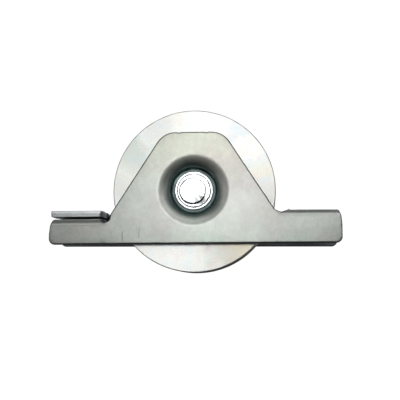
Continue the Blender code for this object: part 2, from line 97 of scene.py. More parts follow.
# Its two wings. A reach is a distance from the axle along X; top is the folded flange's
# upper face, fold is where the plate passes into the fold, and dark and relief_roll are
# where the relief's cut edge starts to carry painted shade and how wide its roll-over is.
Wing = namedtuple("Wing", "way reach bottom top bend_reach neck_reach fold dark relief_roll")
HIGH = Wing(
    way=1,
    reach=BRACKET_HIGH.x,
    bottom=-0.02605,
    top=-0.0093,
    bend_reach=0.0710,
    neck_reach=0.0690,
    fold=(0.0404, 0.0432),
    dark=0.0424,
    relief_roll=0.00130,
)
LOW = Wing(
    way=-1,
    reach=-BRACKET_LOW.x,
    bottom=BRACKET_LOW.z,
    top=HIGH.top - SHEET - 0.0014,
    bend_reach=0.0705,
    neck_reach=0.0694,
    fold=(0.0425, 0.0454),
    dark=0.0406,
    relief_roll=0.00070,
)

# The sheet starts to lean a little before each bend.
LEAN_LENGTH = 0.0055
LEAN_ANGLE = radians(4.0)
LEAN_SPREAD = 0.0140

# The sheared edge: rolled over at the front, clean above, torn and set back below.
ROLL_PLATE = 0.00078
ROLL_BOTTOM = 0.00090
ROLL_END = 0.00080
ROLL_FLANGE = 0.00035
ROLL_STEPS = 4
TEAR_START = 0.00140
TEAR_END = 0.00155
TEAR_INSET = 0.00012
BACK_BREAK = 0.00020

# Where the blank was cut from its carrier strip: each mark's middle, half its width, and
# how deep its ends are nicked (or stand out, below 0).
TOP_TAB = (-0.0003, 0.0067, 0.00035)
BOTTOM_TAB = (0.0010, 0.0054, -0.00022)
TAB_END_WIDTH = 0.0009
TAB_ROUGHNESS = 0.00006
TAB_GRAIN = 1400
NEAR_EDGE = 0.0005

# Material slots of the bracket's sheets: painted shade on cut, relief and inner faces, a painted highlight
# on free edges.
OUTER_FACE, CUT_EDGE_SHADE, FREE_EDGE_HIGHLIGHT, RELIEF_EDGE_SHADE, INNER_FACE_SHADE = range(5)

# Finish of the meshes.
ARC_STEP = 0.00035
EDGE_STEP = 0.0020
TAB_STEP = 0.00030
BEND_SLICES = 12
LEAN_SLICES = 4
FOLD_SLICES = 8
FILLET_STEPS = 4
ROUND_STEPS = 160
WHEEL_STEPS = 240
SMOOTH_ANGLE = radians(38)
SAME_PLACE = 2e-6

# Axle rivet: each formed head has a brim, a groove, a ring and a raised middle, its boss.
HEAD_UNDER = -FRONT_FACE - DIMPLE_DEPTH + CLEARANCE
HEAD_GROOVE = 0.00815
BRIM_STEP = 0.00100
BOSS_RADIUS = 0.0062
BOSS_STEP = 0.00055
BOSS_SHIFT = Vector((-0.00060, 0.0, -0.00020))
REAR_BOSS_SHIFT = Vector((0.00040, 0.0, 0.00030))
DENT_DEPTH = 0.00030
DENT_ANGLE = radians(-52)
JOURNAL_RADIUS = AXLE_HOLE_RADIUS - CLEARANCE

# Wheel.
GROOVE_DEPTH = 0.0080
GROOVE_HALF_WIDTH = 0.0080
GROOVE_ROOT_HALF_WIDTH = 0.0006
WHEEL_CHAMFER = 0.0004
SHOULDER_RADIUS = 0.0182
SNAP_GROOVE_DEPTH = 0.0012

# Ball bearing.
BALL_COUNT = 8
BALL_RADIUS = 0.003374
PITCH_RADIUS = 0.01425
INNER_RING_BORE = 0.0085
INNER_RING_RADIUS = 0.0122
OUTER_RING_SHOULDER = 0.0164
RING_FILLET = 0.0006
RACEWAY_STEPS = 10
SEAL_SEAT_RADIUS = 0.0173
SEAL_SEAT_DEPTH = 0.0013
SEAL_THICKNESS = 0.0007
AXLE_RADIUS = INNER_RING_BORE - CLEARANCE

# The bearing's cage and its rivets.
CAGE_THICKNESS = 0.0006
CAGE_HALF_WIDTH = 0.00105
CAGE_CORNER = 0.0001
CAGE_WALL_ANGLE = pi / 3
CAGE_STEPS = BALL_COUNT * 36
CAGE_RIVET_RADIUS = 0.00045
CAGE_RIVET_HEAD = 0.0010
CAGE_RIVET_HEIGHT = 0.0004

# Snap ring.
SNAP_BAND = 0.0026
SNAP_OPENING = 0.20
SNAP_LUG_ANGLE = 0.22
SNAP_LUG_RADIUS = 0.0166
SNAP_EYE_RADIUS = 0.0010
SNAP_CHAMFER = 0.0001
SNAP_STEP = 0.0006

# Camera, with its angles in degrees, and floor.
CAMERA_DISTANCE = 0.450
CAMERA_ANGLES = (4.7, -6.3)
CAMERA_LENS = 80.73
CAMERA_SHIFT = (0.01075, -0.01775)
FLOOR_HEIGHT = -0.150


# ---- shapes


def fade(value, start, end):
    """0 before the start, 1 past the end, and a smooth change between them."""
    share = max(0.0, min(1.0, (value - start) / (end - start)))
    return share * share * (3 - 2 * share)


def arc(centre, radius, start, turn, count):
    """Points along an arc, both ends included."""
    angles = [start + turn * i / count for i in range(count + 1)]
    return [Vector(centre) + Vector((cos(a), sin(a))) * radius for a in angles]


def arc_points(centre, radius, start, end, step=ARC_STEP):
    """Points along an arc, both ends included, about one step apart."""
    count = max(2, round(abs(end - start) * radius / step))
    return arc(centre, radius, start, end - start, count)


def corner_arc(before, here, after, radius):
    """Centre, starting angle and turn of the arc that rounds a corner."""
    here = Vector(here)
    one = (Vector(before) - here).normalized()
    two = (Vector(after) - here).normalized()
    half_angle = acos(max(-1.0, min(1.0, one.dot(two)))) / 2
    centre = here + (one + two).normalized() * (radius / sin(half_angle))
    first = here + one * (radius / tan(half_angle)) - centre
    last = here + two * (radius / tan(half_angle)) - centre
    return centre, atan2(first.y, first.x), atan2(first.cross(last), first.dot(last))


def rounded(corners):
    """The closed outline through (x, y, radius) corners, each rounded by its radius."""
    points = []
    for index, (x, y, radius) in enumerate(corners):
        before = corners[index - 1][:2]
        after = corners[(index + 1) % len(corners)][:2]
        centre, start, turn = corner_arc(before, (x, y), after, radius)
        points += arc_points(centre, radius, start, start + turn)
    return points


def soft_profile(points, closed=False):
    """A profile of (radius, y, fillet) points with each fillet drawn out."""
    result = []
    count = len(points)
    for index, (radius, y, fillet) in enumerate(points):
        at_end = not closed and index in (0, count - 1)
        if fillet == 0 or at_end:
            result.append((radius, y))
            continue
        before = points[index - 1][:2]
        after = points[(index + 1) % count][:2]
        centre, start, turn = corner_arc(before, (radius, y), after, fillet)
        result += [tuple(point) for point in arc(centre, fillet, start, turn, FILLET_STEPS)]
    return result


def other_end(profile):
    """The same points at the axle's other end."""
    return [(radius, -y) for radius, y in profile]


def mirrored(half):
    """A profile's half at y above 0, continued by its mirror image."""
    return half + other_end(reversed(half))


def divided(points, step_at):
    """The closed outline with its long edges cut into steps of the length asked there."""
    result = []
    for index, point in enumerate(points):
        following = points[(index + 1) % len(points)]
        length = (following - point).length
        count = max(1, round(length / step_at((point + following) / 2)))
        result += [point.lerp(following, i / count) for i in range(count)]
    return result


def inward(points):
    """For each point of an anticlockwise outline, the way its two edges move inwards."""
    ways = []
    for index, point in enumerate(points):
        before = (point - points[index - 1]).normalized()
        after = (points[(index + 1) % len(points)] - point).normalized()
        first = Vector((-before.y, before.x))
        second = Vector((-after.y, after.x))
        ways.append((first + second) / (1 + first.dot(second)))
    return ways


def bridge(bm, first, second):
    """Quads between two closed rows of vertices of the same length."""
    count = len(first)
    return [
        bm.faces.new((first[i], first[(i + 1) % count], second[(i + 1) % count], second[i]))
        for i in range(count)
    ]


def join_rows(bm, rows):
    for first, second in zip(rows, rows[1:]):
        bridge(bm, first, second)


def row_edges(row):
    return [
        next(edge for edge in vert.link_edges if row[i - 1] in edge.verts)
        for i, vert in enumerate(row)
    ]


def lathe(profile, steps=ROUND_STEPS, closed=False):
    """A bmesh turned about the Y axis from (radius, y) points; radius 0 closes an end."""
    bm = bmesh.new()
    angles = [2 * pi * i / steps for i in range(steps)]
    rows = []
    for radius, y in profile:
        if radius < 1e-7:
            rows.append([bm.verts.new((0.0, y, 0.0))])
        else:
            rows.append([bm.verts.new((radius * cos(a), y, radius * sin(a))) for a in angles])
    pairs = list(zip(rows, rows[1:]))
    if closed:
        pairs.append((rows[-1], rows[0]))
    for first, second in pairs:
        if len(first) == 1 or len(second) == 1:
            tip, ring = (first[0], second) if len(first) == 1 else (second[0], first)
            for i in range(steps):
                bm.faces.new((tip, ring[i], ring[(i + 1) % steps]))
        else:
            bridge(bm, first, second)
    bmesh.ops.recalc_face_normals(bm, faces=bm.faces)
    return bm


def on_pitch_circle(index):
    """A place on the circle of the balls' centres, counted in balls from +X."""
    angle = 2 * pi * index / BALL_COUNT
    return Vector((PITCH_RADIUS * cos(angle), 0.0, PITCH_RADIUS * sin(angle)))


def added(name, data):
    """A new object in the scene."""
    thing = bpy.data.objects.new(name, data)
    bpy.context.scene.collection.objects.link(thing)
    return thing


def finish_piece(name, bm, materials, body, node):
    """Turns a bmesh into a piece that rides on a body and stands for a CAD node."""
    mesh = bpy.data.meshes.new(name)
    bm.to_mesh(mesh)
    bm.free()
    for material in materials:
        mesh.materials.append(material)
    mesh.shade_smooth()
    mesh.set_sharp_from_angle(angle=SMOOTH_ANGLE)
    piece = added(name, mesh)
    weighted = piece.modifiers.new("Weighted normals", "WEIGHTED_NORMAL")
    weighted.keep_sharp = True
    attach(piece, body)
    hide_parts(node)


# ---- materials


# The colour sockets of a mix node, which share their names with its other sockets.
MIX_COLOUR_A, MIX_COLOUR_B = 6, 7
MIX_COLOUR_RESULT = 2


class Tree:
    """A node tree, with short calls that add nodes and give their sockets."""

    def __init__(self, tree):
        self.tree = tree

    def add(self, kind, sockets=None, **settings):
        """A new node, with values or other nodes' outputs in its input sockets."""
        node = self.tree.nodes.new(kind)
        for key, value in settings.items():
            setattr(node, key, value)
        self.feed(node, sockets or {})
        return node

    def feed(self, node, sockets):
        for key, value in sockets.items():
            if isinstance(value, bpy.types.NodeSocket):
                self.tree.links.new(value, node.inputs[key])
            else:
                node.inputs[key].default_value = value

    def ramp(self, factor, stops, ease=False):
        node = self.add("ShaderNodeValToRGB", {"Fac": factor})
        ramp = node.color_ramp
        ramp.interpolation = "EASE" if ease else "LINEAR"
        while len(ramp.elements) < len(stops):
            ramp.elements.new(0.5)
        for element, (place, colour) in zip(ramp.elements, stops):
            element.position = place
            element.color = (*colour, 1.0)
        return node.outputs["Color"]


class Nodes(Tree):
    """A material's node tree, in which place is the object's own coordinates."""

    def __init__(self, name, metallic=1.0, anisotropic=0.0):
        self.material = bpy.data.materials.new(name)
        self.material.use_nodes = True
        super().__init__(self.material.node_tree)
        self.shader = self.tree.nodes["Principled BSDF"]
        self.feed(self.shader, {"Metallic": metallic, "Anisotropic": anisotropic})
        self.place = self.add("ShaderNodeTexCoord").outputs["Object"]

    def math(self, operation, first, second=0.0, clamp=False):
        node = self.add("ShaderNodeMath", {0: first, 1: second}, operation=operation, use_clamp=clamp)
        return node.outputs[0]

    def distance(self, x, z):
        squares = self.math("ADD", self.math("MULTIPLY", x, x), self.math("MULTIPLY", z, z))
        return self.math("SQRT", squares)

    def axes(self):
        return self.add("ShaderNodeSeparateXYZ", {0: self.place}).outputs

    def radius(self):
        """Distance from the axle's axis."""
        x, _, z = self.axes()
        return self.distance(x, z)

    def joined(self, x, y, z=0.0):
        return self.add("ShaderNodeCombineXYZ", {"X": x, "Y": y, "Z": z}).outputs[0]

    def rings(self, scale):
        """A vector that changes only with the radius, for tool marks round the axle."""
        return self.joined(self.math("MULTIPLY", self.radius(), scale), 0.0)

    def noise(self, scale, detail=2.0, rough=0.5, vector=None):
        place = vector or self.place
        sockets = {"Vector": place, "Scale": scale, "Detail": detail, "Roughness": rough}
        return self.add("ShaderNodeTexNoise", sockets).outputs["Fac"]

    def spread(self, value, low, high, to_low=0.0, to_high=1.0):
        sockets = {"Value": value, "From Min": low, "From Max": high, "To Min": to_low, "To Max": to_high}
        return self.add("ShaderNodeMapRange", sockets, clamp=True).outputs["Result"]

    def vary(self, field, low, high):
        """A noise field spread between two values."""
        return self.spread(field, 0.3, 0.7, low, high)

    def mix(self, factor, first, second, blend="MIX"):
        node = self.add("ShaderNodeMix", {"Factor": factor}, data_type="RGBA", blend_type=blend)
        self.feed(node, {MIX_COLOUR_A: first, MIX_COLOUR_B: second})
        return node.outputs[MIX_COLOUR_RESULT]

    def tinted(self, colour, tint):
        return self.mix(1.0, colour, tint, "MULTIPLY")

    def shaded(self, colour, level):
        return self.tinted(colour, self.joined(level, level, level))

    def bump(self, height, strength, distance, normal=None):
        sockets = {"Height": height, "Strength": strength, "Distance": distance}
        if normal is not None:
            sockets["Normal"] = normal
        return self.add("ShaderNodeBump", sockets).outputs["Normal"]

    def circular_grain(self):
        """Points the anisotropic highlight along the tool marks round the axle."""
        node = self.add("ShaderNodeTangent", direction_type="RADIAL", axis="Y")
        self.feed(self.shader, {"Tangent": node.outputs[0], "Anisotropic Rotation": 0.25})

    def finish(self, colour, roughness, normal=None):
        self.feed(self.shader, {"Base Color": colour, "Roughness": roughness})
        if normal is not None:
            self.feed(self.shader, {"Normal": normal})
        return self.material


# The zinc's own mottled tints.
PATCH_TINTS = [
    (0.30, (0.535, 0.590, 0.545)),
    (0.46, (0.580, 0.600, 0.568)),
    (0.58, (0.605, 0.590, 0.575)),
    (0.72, (0.610, 0.612, 0.560)),
]

# Painted shade round the dimple, teal where it paints the dark room's reflection, from the floor to the
# lip.
DIMPLE_SHADE_START = 0.0095
DIMPLE_SHADE_END = 0.0165
DIMPLE_SHADE_TINTS = [
    (0.00, (0.16, 0.21, 0.22)),
    (0.12, (0.24, 0.31, 0.32)),
    (0.23, (0.62, 0.86, 0.88)),
    (0.42, (0.47, 0.58, 0.58)),
    (0.62, (0.70, 0.75, 0.73)),
    (0.85, (0.98, 0.98, 0.97)),
    (1.00, (1.0, 1.0, 1.0)),
]

# How the sheet's tint changes from its lower edge to its top: darker and greener below, lightest in the
# middle, yellower at the top.
HEIGHT_TINTS = [
    (0.00, (0.885, 0.925, 0.890)),
    (0.12, (0.935, 0.960, 0.935)),
    (0.30, (0.985, 1.0, 0.980)),
    (0.55, (0.99, 0.995, 0.975)),
    (0.85, (0.985, 0.965, 0.890)),
]

# Upright scratches on the plate: x, lowest z, highest z, half width, darkness.
SCRATCHES = [
    (-0.0347, -0.0255, -0.0195, 0.00026, 0.85),
    (-0.0264, -0.0240, -0.0172, 0.00022, 0.60),
    (-0.0275, -0.0205, -0.0160, 0.00018, 0.35),
    (-0.0405, -0.0228, -0.0190, 0.00018, 0.35),
    (0.0108, -0.0200, -0.0150, 0.00018, 0.30),
    (0.0231, -0.0205, -0.0165, 0.00016, 0.30),
]


# Where the tint by height and the painted shade at the low wing's far end run, along Z and along X.
CAST_SPAN = (-0.026, 0.0285)
SHADE_SPAN = (-0.072, -0.042)
SCRATCH_END = 0.0012
SCRATCH_WANDER = 0.0002


def zinc_sheet_material():
    """Satin zinc on pressed sheet: mottled, faintly green and pink, with painted shade in the dimple and
    towards the low wing's end.
    """
    n = Nodes("zinc_sheet")
    x, _, z = n.axes()
    patches = n.noise(34, detail=3, rough=0.55)
    tint = n.ramp(patches, PATCH_TINTS)
    grain = n.noise(1500, detail=3, rough=0.65)
    mottle = n.noise(420, detail=2, rough=0.5)
    colour = n.shaded(tint, n.math("ADD", n.vary(grain, -0.08, 0.07), n.vary(mottle, 0.93, 1.04)))
    wobble = n.vary(n.noise(180, detail=2), -0.0006, 0.0006)
    # Painted shade in the dimple, by distance from the axle.
    from_floor = n.spread(n.math("ADD", n.radius(), wobble), DIMPLE_SHADE_START, DIMPLE_SHADE_END)
    colour = n.tinted(colour, n.ramp(from_floor, DIMPLE_SHADE_TINTS, ease=True))
    colour = n.tinted(colour, n.ramp(n.spread(z, *CAST_SPAN), HEIGHT_TINTS))
    # Painted shade, darkening the low wing towards its end.
    colour = n.shaded(colour, n.spread(x, *SHADE_SPAN, 0.80, 1.0))
    colour = n.mix(scratches(n), colour, (0.13, 0.15, 0.15, 1.0))
    roughness = n.math("ADD", n.spread(grain, 0.2, 0.8, 0.30, 0.38), n.vary(patches, -0.02, 0.03))
    waves = n.bump(n.noise(70, detail=1), 0.10, 0.0010)
    normal = n.bump(n.noise(1100, detail=3, rough=0.6), 0.10, 0.00016, waves)
    return n.finish(colour, roughness, normal)


def scratches(n):
    """How dark the scratches make the sheet at each place."""
    x, _, z = n.axes()
    bent_x = n.math("ADD", x, n.vary(n.noise(120, detail=1), -SCRATCH_WANDER, SCRATCH_WANDER))
    total = None
    for middle, low, high, half_width, darkness in SCRATCHES:
        off = n.math("ABSOLUTE", n.math("SUBTRACT", bent_x, middle))
        across = n.spread(off, 0.4 * half_width, half_width, darkness, 0.0)
        above = n.spread(z, low, low + SCRATCH_END)
        below = n.spread(z, high, high - SCRATCH_END)
        mark = n.math("MULTIPLY", across, n.math("MULTIPLY", above, below))
        total = mark if total is None else n.math("MAXIMUM", total, mark)
    return total


def cut_edge_material(name, dull, bright):
    """Streaks along the sheet's thickness, as shearing and wear leave them, between two given colours that
    carry painted shade or a painted highlight.
    """
    n = Nodes(name)
    along_cut = n.add("ShaderNodeMapping", {"Vector": n.place, "Scale": (2600, 260, 2600)})
    streaks = n.noise(1.0, detail=2, rough=0.6, vector=along_cut.outputs["Vector"])
    colour = n.ramp(streaks, [(0.3, dull), (0.7, bright)])
    return n.finish(colour, n.vary(streaks, 0.45, 0.32), n.bump(streaks, 0.35, 0.00015))


# Tints of the thin chromate film round the wheel, by angle from +X towards +Z; their bright and dark
# sectors also paint the turned face's highlight and shade.
FILM_AND_SHEEN_TINTS = [
    (-180, (0.80, 0.80, 0.78)),
    (-165, (0.93, 0.94, 0.92)),
    (-140, (0.96, 0.98, 0.96)),
    (-100, (0.98, 0.99, 0.97)),
    (-82, (0.92, 0.93, 0.90)),
    (-70, (0.57, 0.54, 0.46)),
    (-60, (0.62, 0.57, 0.46)),
    (-48, (0.75, 0.69, 0.53)),
    (-35, (0.78, 0.77, 0.70)),
    (-10, (0.80, 0.79, 0.76)),
    (8, (0.84, 0.84, 0.84)),
    (20, (0.88, 0.86, 0.78)),
    (29, (0.82, 0.86, 0.88)),
    (36, (0.99, 0.93, 0.90)),
    (47, (0.74, 0.80, 0.84)),
    (57, (0.82, 0.82, 0.86)),
    (70, (0.94, 0.96, 0.97)),
    (92, (0.98, 0.98, 0.96)),
    (108, (0.92, 0.92, 0.86)),
    (119, (0.80, 0.80, 0.80)),
    (132, (0.94, 0.98, 0.96)),
    (143, (0.66, 0.74, 0.68)),
    (156, (0.64, 0.72, 0.66)),
    (167, (0.94, 0.98, 0.88)),
    (180, (0.80, 0.80, 0.78)),
]

# Faint blots of other tints all over the film.
BLOT_TINTS = [
    (0.34, (0.93, 1.0, 0.99)),
    (0.45, (1.0, 1.0, 1.0)),
    (0.55, (1.0, 1.0, 0.95)),
    (0.66, (1.0, 0.94, 0.97)),
]


def turned_zinc_material():
    """Bright zinc over a turned face: circular tool marks under a rainbow film, whose tints by angle also
    paint highlight and shade.
    """
    n = Nodes("turned_zinc", anisotropic=0.75)
    x, _, z = n.axes()
    wander = n.spread(n.noise(55, detail=3, rough=0.6), 0.25, 0.75, -0.22, 0.22)
    around = n.spread(n.math("ADD", n.math("ARCTAN2", z, x), wander), -pi, pi)
    # Film tints and painted light: the brighter and darker sectors stand in for the turned face's
    # highlight and shade.
    film = n.ramp(around, [((degrees + 180) / 360, tint) for degrees, tint in FILM_AND_SHEEN_TINTS])
    strength = n.vary(n.noise(30, detail=1), 0.35, 1.0)
    colour = n.mix(strength, (0.90, 0.91, 0.90, 1.0), film)
    blots = n.ramp(n.noise(210, detail=3, rough=0.65), BLOT_TINTS)
    grain = n.noise(1300, detail=3, rough=0.65)
    colour = n.shaded(n.tinted(colour, blots), n.spread(grain, 0.25, 0.75, 0.88, 1.05))
    marks = n.noise(1.0, detail=3, rough=0.7, vector=n.rings(4200))
    roughness = n.math("ADD", n.vary(marks, 0.32, 0.40), n.vary(grain, -0.03, 0.03))
    normal = n.bump(n.noise(900, detail=2), 0.10, 0.00010, n.bump(marks, 0.22, 0.00006))
    n.circular_grain()
    return n.finish(colour, roughness, normal)


def rivet_material():
    """Bright zinc on cold-formed steel, dull where the forming punch has smeared it, with painted shade in
    each head's groove and below its raised middle.
    """
    n = Nodes("rivet_zinc")
    smears = n.noise(330, detail=3, rough=0.6)
    colour = n.ramp(smears, [(0.30, (0.84, 0.86, 0.86)), (0.44, (0.96, 0.97, 0.97))])
    # Painted shade: darkens the groove and a shadow crescent below each boss.
    colour = n.mix(head_painted_shade(n), colour, (0.10, 0.115, 0.125, 1.0))
    roughness = n.spread(smears, 0.3, 0.6, 0.33, 0.26)
    normal = n.bump(smears, 0.05, 0.00008, n.bump(n.noise(2400, detail=2), 0.06, 0.00003))
    return n.finish(colour, roughness, normal)


def head_painted_shade(n):
    """Painted shade in the groove inside the brim, and a painted shadow below the raised middle of each
    head.
    """
    x, y, z = n.axes()
    wobble = n.vary(n.noise(600, detail=2), -0.00012, 0.00012)
    from_groove = n.math("SUBTRACT", n.math("ADD", n.radius(), wobble), HEAD_GROOVE)
    groove = n.spread(n.math("ABSOLUTE", from_groove), 0.00016, 0.00040, 0.95, 0.0)
    shift_x = n.spread(y, -0.001, 0.001, BOSS_SHIFT.x, REAR_BOSS_SHIFT.x)
    shift_z = n.spread(y, -0.001, 0.001, BOSS_SHIFT.z, REAR_BOSS_SHIFT.z)
    from_middle = n.distance(n.math("SUBTRACT", x, shift_x), n.math("SUBTRACT", z, shift_z))
    from_boss = n.math("ABSOLUTE", n.math("SUBTRACT", from_middle, BOSS_RADIUS + 0.0001))
    half_width = n.spread(z, -0.0010, -0.0055, 0.00020, 0.00062)
    edge = n.math("SUBTRACT", 1.0, n.math("DIVIDE", from_boss, half_width), clamp=True)
    # The crescent is a painted shadow, wider towards the bottom.
    below = n.spread(z, 0.0010, -0.0030)
    crescent = n.math("MULTIPLY", n.spread(edge, 0.0, 0.30), below)
    return n.math("MAXIMUM", groove, crescent)


def ring_steel_material():
    """Ground steel with fine circular marks."""
    n = Nodes("ring_steel", anisotropic=0.4)
    marks = n.noise(1.0, detail=2, vector=n.rings(5200))
    colour = n.ramp(marks, [(0.3, (0.5676, 0.5676, 0.559)), (0.7, (0.66, 0.66, 0.65))])
    n.circular_grain()
    return n.finish(colour, n.vary(marks, 0.14, 0.22), n.bump(marks, 0.1, 0.00003))


def ball_steel_material():
    n = Nodes("ball_steel")
    film = n.noise(900, detail=2)
    colour = n.ramp(film, [(0.35, (0.62, 0.62, 0.61)), (0.65, (0.74, 0.74, 0.74))])
    return n.finish(colour, n.vary(film, 0.05, 0.10))


def cage_steel_material():
    n = Nodes("cage_steel")
    film = n.noise(700, detail=3, rough=0.6)
    colour = n.ramp(film, [(0.3, (0.42, 0.40, 0.35)), (0.7, (0.60, 0.58, 0.53))])
    return n.finish(colour, n.vary(film, 0.28, 0.42), n.bump(film, 0.2, 0.00005))


def spring_steel_material():
    n = Nodes("spring_steel")
    film = n.noise(800, detail=3, rough=0.65)
    colour = n.ramp(film, [(0.3, (0.045, 0.045, 0.050)), (0.7, (0.11, 0.11, 0.12))])
    return n.finish(colour, n.vary(film, 0.30, 0.45), n.bump(film, 0.3, 0.00005))


def seal_rubber_material():
    n = Nodes("seal_rubber", metallic=0.0)
    grain = n.noise(2600, detail=3, rough=0.7)
    dust = n.noise(260, detail=3)
    colour = n.ramp(dust, [(0.35, (0.012, 0.012, 0.013)), (0.75, (0.035, 0.034, 0.032))])
    return n.finish(colour, n.vary(dust, 0.48, 0.66), n.bump(grain, 0.3, 0.00008))


# ---- bracket


def wing_at(x):
    return HIGH if x > 0 else LOW


def flank_x(z):
    return TOP_HALF_WIDTH + FLANK_SLOPE * (PLATE_TOP - z)


def wing_corners(wing, relief_corners):
    """The flat blank's outline along one wing, from its lower corner up to the flank."""
    bend_start = wing.top - BEND_RADIUS
    bend_end = bend_start + BEND_LENGTH
    blank_top = bend_end - BEND_RADIUS + FLANGE_REACH
    corners = [
        (wing.reach, wing.bottom, END_CORNER_RADIUS),
        (wing.reach, bend_start - WING_TAPER_BOTTOM, WING_TAPER_BOTTOM),
        (wing.bend_reach, bend_start + WING_TAPER_TOP, WING_TAPER_BOTTOM),
        (wing.neck_reach, bend_end, WING_TAPER_BOTTOM),
        (wing.reach, bend_end + WING_TAPER_BACK, WING_TAPER_BACK),
        (wing.reach, blank_top, FLANGE_OUTER_RADIUS),
        (FLANGE_START, blank_top, FLANGE_INNER_RADIUS),
        *relief_corners(bend_start),
    ]
    return [(wing.way * x, z, radius) for x, z, radius in corners]


def slanted_foot(bend_start):
    """On the high side the flange's end slants down to a fillet at the flank's foot."""
    foot = bend_start + FOOT_ABOVE_BEND
    return [
        (FLANGE_START, bend_start + FLANGE_ROOT_ABOVE_BEND, FLANGE_ROOT_RADIUS),
        (flank_x(foot), foot, FOOT_RADIUS),
    ]


def slot_foot(bend_start):
    """On the low side the flank ends at a slot with a round bottom."""
    slot = bend_start + SLOT_ABOVE_BEND
    turn_z = PLATE_TOP - (RELIEF_START - TOP_HALF_WIDTH) / FLANK_SLOPE
    return [
        (FLANGE_START, slot, SLOT_RADIUS),
        (RELIEF_START, slot, SLOT_RADIUS),
        (RELIEF_START, turn_z, SLOT_RADIUS),
    ]


def blank_corners():
    """Corners of the flat blank, anticlockwise from the lower right."""
    top = [(way * TOP_HALF_WIDTH, PLATE_TOP, TOP_CORNER_RADIUS) for way in (1, -1)]
    return wing_corners(HIGH, slanted_foot) + top + wing_corners(LOW, slot_foot)[::-1]


def bottom_at(x):
    """Height of the plate's lower edge, which falls a little towards the low wing."""
    share = (x + LOW.reach) / (HIGH.reach + LOW.reach)
    return LOW.bottom + (HIGH.bottom - LOW.bottom) * share


def tab_at(point):
    """The carrier strip's mark that a point of the outline belongs to, if any."""
    if point.y > PLATE_TOP - NEAR_EDGE:
        tab = TOP_TAB
    elif point.y < bottom_at(point.x) + NEAR_EDGE:
        tab = BOTTOM_TAB
    else:
        return None
    return tab if abs(point.x - tab[0]) < tab[1] + 2 * TAB_END_WIDTH else None


def blank_outline():
    """The blank's outline, with the nicks and the rough edge left by its carrier strip."""
    points = divided(
        rounded(blank_corners()),
        lambda middle: TAB_STEP if tab_at(middle) else EDGE_STEP,
    )
    for point in points:
        tab = tab_at(point)
        if tab is None:
            continue
        middle, half_width, depth = tab
        out = 1 if point.y > 0 else -1
        off = abs(point.x - middle)
        rough = noise.noise(Vector((point.x * TAB_GRAIN, out * 3.7, 0.0)))
        inside = fade(off, half_width, half_width - 0.0005)
        end = fade(abs(off - half_width), TAB_END_WIDTH, 0.0)
        point.y += out * (inside * TAB_ROUGHNESS * rough - end * depth)
    return points


def roll_at(point):
    """How far the edge's roll-over reaches inwards at a point of the outline."""
    reach = abs(point.x)
    wing = wing_at(point.x)
    above = point.y - wing.top
    bottom = bottom_at(point.x)
    at_bottom = fade(point.y, bottom + 0.0020, bottom)
    at_relief = fade(reach, FLANGE_START + 0.0012, FLANGE_START + 0.0004)
    at_relief *= fade(reach, wing.dark - 0.0010, wing.dark - 0.0002)
    at_relief *= fade(above, 0.0040, 0.0020) * (1 - at_bottom)
    roll = ROLL_PLATE
    roll += (ROLL_BOTTOM - roll) * at_bottom
    roll += (ROLL_END - roll) * fade(reach, 0.0665, 0.0695)
    if reach > RELIEF_START:
        roll += (ROLL_FLANGE - roll) * fade(above, 0.0, 0.0040)
    return roll + (wing.relief_roll - roll) * at_relief


def edge_kind(point):
    """Which material the cut edge has: a painted highlight on a free edge, deep painted shade in a relief,
    and painted shade elsewhere.
    """
    wing = wing_at(point.x)
    if abs(point.x) > RELIEF_START and point.y > wing.top + FLANGE_REACH / 2:
        return FREE_EDGE_HIGHLIGHT
    beside_relief = wing.dark < abs(point.x) < FLANGE_START + 0.0008
    return RELIEF_EDGE_SHADE if beside_relief and point.y > wing.top - BEND_RADIUS else CUT_EDGE_SHADE


def edge_levels():
    """(share of the roll's depth, depth, share of its width, inset) of each edge loop."""
    turns = [pi / 2 * i / ROLL_STEPS for i in range(ROLL_STEPS + 1)]
    torn = 1.4 * TEAR_INSET
    return [(1 - cos(turn), 0.0, 1 - sin(turn), 0.0) for turn in turns] + [
        (0.0, TEAR_START, 0.0, 0.0),
        (0.0, TEAR_END, 0.0, TEAR_INSET),
        (0.0, SHEET - BACK_BREAK, 0.0, torn),
        (0.0, SHEET - 0.3 * BACK_BREAK, 0.0, torn + 0.3 * BACK_BREAK),
        (0.0, SHEET, 0.0, torn + BACK_BREAK),
    ]


def bend_turn(along, lean):
    """How far the sheet has turned at a distance along it from the bend's start."""
    if along < 0:
        return lean * max(1 + along / LEAN_LENGTH, 0.0)
    return lean + (pi / 2 - lean) * min(along / BEND_LENGTH, 1.0)


def bent(along, lean):
    """(reach along Y, rise along Z) of the outer surface at a distance along the sheet.

    The sheet leans by a growing angle before the bend, and then turns on evenly.
    """
    if along <= 0:
        return lean * (along + LEAN_LENGTH) ** 2 / (2 * LEAN_LENGTH), along
    radius = BEND_LENGTH / (pi / 2 - lean)
    turn = bend_turn(along, lean)
    straight = max(along - BEND_LENGTH, 0.0)
    reach = lean * LEAN_LENGTH / 2 + radius * (cos(lean) - cos(turn)) + straight
    return reach, radius * (sin(turn) - sin(lean))


def pressed(x, z, depth):
    """Where folding takes a point of the flat blank that lies this deep in the sheet."""
    wing = wing_at(x)
    bend_start = wing.top - BEND_RADIUS
    start, end = wing.fold
    share = fade(abs(x), start, end)
    along = z - bend_start
    if along <= -LEAN_LENGTH or share == 0:
        return Vector((x, FRONT_FACE + depth, z))
    lean = LEAN_ANGLE * fade(abs(x), start, start + LEAN_SPREAD)
    turn = bend_turn(along, lean)
    reach, rise = bent(along, lean)
    y = reach + depth * cos(turn)
    height = bend_start + rise - depth * sin(turn)
    return Vector((x, FRONT_FACE + depth + share * (y - depth), z + share * (height - z)))


